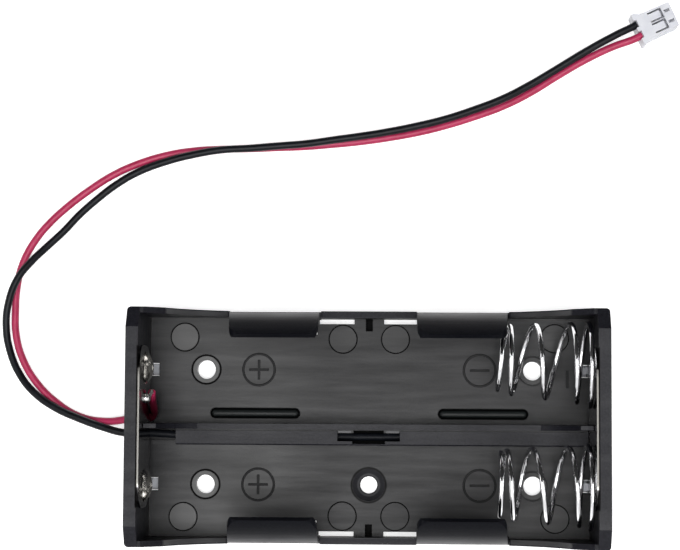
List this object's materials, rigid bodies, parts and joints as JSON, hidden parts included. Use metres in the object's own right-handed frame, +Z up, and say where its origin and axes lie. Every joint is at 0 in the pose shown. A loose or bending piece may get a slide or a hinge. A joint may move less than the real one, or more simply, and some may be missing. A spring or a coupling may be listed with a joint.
{
  "type": "cylindrical cell holder",
  "caption": "Open moulded tray holder for side-by-side cylindrical cells, with curled grip arms, coil spring and cup contacts, screw holes, and leads ending in a small plug.",
  "frame": {"origin": "middle of the holder's underside, leads and plug left out", "axes": "X along the cells with the spring end at +X and the lead exit at -X, Y across the bays, Z up from the underside towards the open side"},
  "size_m": [0.1165, 0.0929, 0.0196],
  "materials": {
    "housing_plastic": "black moulded plastic, fine satin grain",
    "nickel_strip": "nickel-plated spring steel strip, satin",
    "spring_wire": "bright nickel-plated spring wire",
    "red_insulation": "red wire insulation, slightly glossy",
    "black_insulation": "black wire insulation, slightly glossy",
    "solder": "tin solder and tinned strands",
    "plug_plastic": "natural white moulded plastic, slightly translucent",
    "terminal_tin": "tin-plated crimp terminal"
  },
  "bodies": {
    "root": {"housing": "housing_plastic", "positive_strip": "nickel_strip", "negative_strip": "nickel_strip", "upper_spring": "spring_wire", "lower_spring": "spring_wire", "red_lead": "red_insulation", "black_lead": "black_insulation", "red_lead_inside": "red_insulation", "black_lead_inside": "black_insulation", "red_solder_joint": "solder", "black_solder_joint": "solder", "plug_housing": "plug_plastic", "red_plug_terminal": "terminal_tin", "black_plug_terminal": "terminal_tin"}
  },
  "joints": []
}
